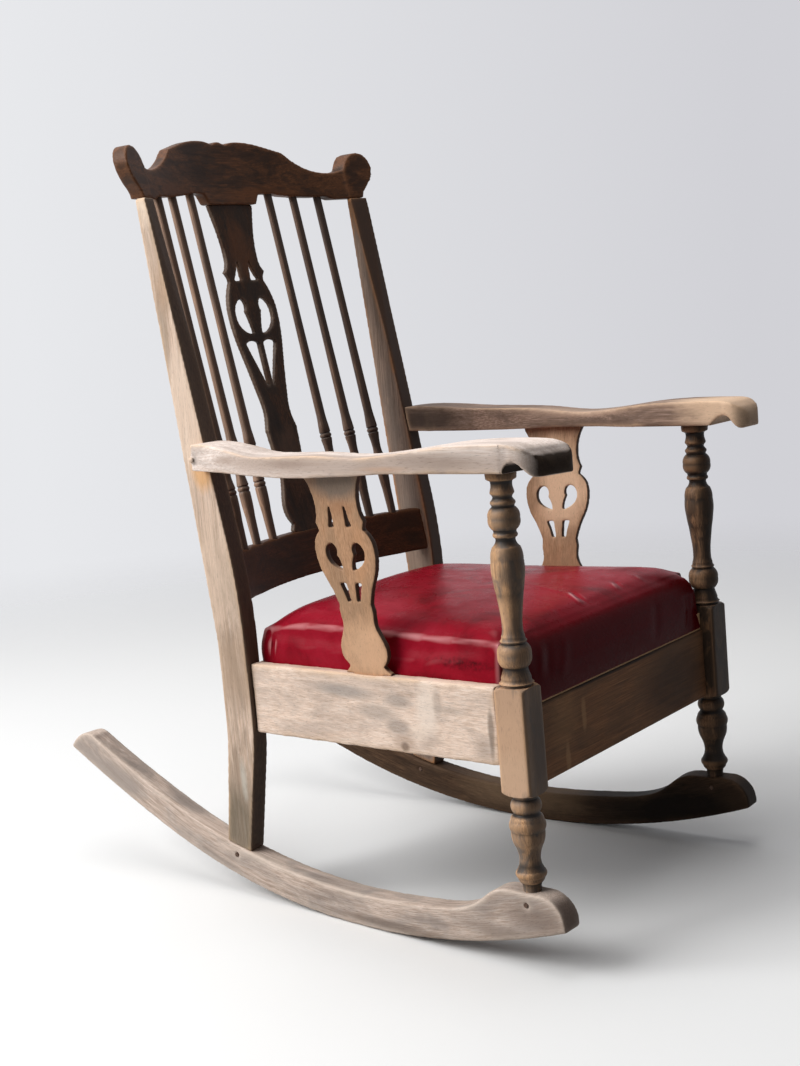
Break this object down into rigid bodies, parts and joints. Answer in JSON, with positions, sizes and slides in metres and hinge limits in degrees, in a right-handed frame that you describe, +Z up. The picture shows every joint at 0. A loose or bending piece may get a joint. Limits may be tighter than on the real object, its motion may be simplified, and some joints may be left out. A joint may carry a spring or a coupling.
{
  "type": "rocking chair",
  "caption": "Wooden rocking chair with a bowed crest rail, turned spindles, pierced splats under arms and in the back, and a red drop-in seat.",
  "frame": {"origin": "middle of the chair's outline in plan, on the floor that the rockers stand on", "axes": "+Z up; the sitter faces -Y; +X is the sitter's left"},
  "size_m": [0.6064, 0.989, 1.1072],
  "materials": {
    "stained_hardwood": "old dark stain, worn and greyed",
    "bare_softwood": "sawn, unfinished",
    "screw_steel": "dull, oxidised",
    "tack_steel": "blued",
    "jute_webbing": "woven",
    "burlap": "coarse weave",
    "stuffing": "felted",
    "red_leather": "smooth, creased",
    "dust_cloth": "plain weave"
  },
  "bodies": {
    "chair": {"left_rocker": "stained_hardwood", "right_rocker": "stained_hardwood", "left_front_post": "stained_hardwood", "right_front_post": "stained_hardwood", "left_back_post": "stained_hardwood", "right_back_post": "stained_hardwood", "crest_rail": "stained_hardwood", "lower_back_rail": "stained_hardwood", "back_splat": "stained_hardwood", "left_spindle_1": "stained_hardwood", "left_spindle_2": "stained_hardwood", "left_spindle_3": "stained_hardwood", "right_spindle_1": "stained_hardwood", "right_spindle_2": "stained_hardwood", "right_spindle_3": "stained_hardwood", "left_arm": "stained_hardwood", "right_arm": "stained_hardwood", "left_arm_splat": "stained_hardwood", "right_arm_splat": "stained_hardwood", "front_seat_rail": "stained_hardwood", "left_seat_rail": "stained_hardwood", "right_seat_rail": "stained_hardwood", "back_seat_rail": "stained_hardwood", "rail_dowels": "bare_softwood", "tenon_pegs": "stained_hardwood", "arm_screws": "screw_steel", "seat_cleats": "bare_softwood", "cleat_screws": "screw_steel", "corner_braces": "bare_softwood"},
    "seat": {"seat_frame": "bare_softwood", "seat_webbing": "jute_webbing", "seat_burlap": "burlap", "seat_stuffing": "stuffing", "seat_cover": "red_leather", "seat_dust_cloth": "dust_cloth", "seat_tacks": "tack_steel"}
  },
  "joints": [
    {"name": "seat_lift", "type": "slide", "parent": "chair", "child": "seat", "axis": [0, 0.0178, 0.9998], "range_m": [0, 0.11]}
  ]
}
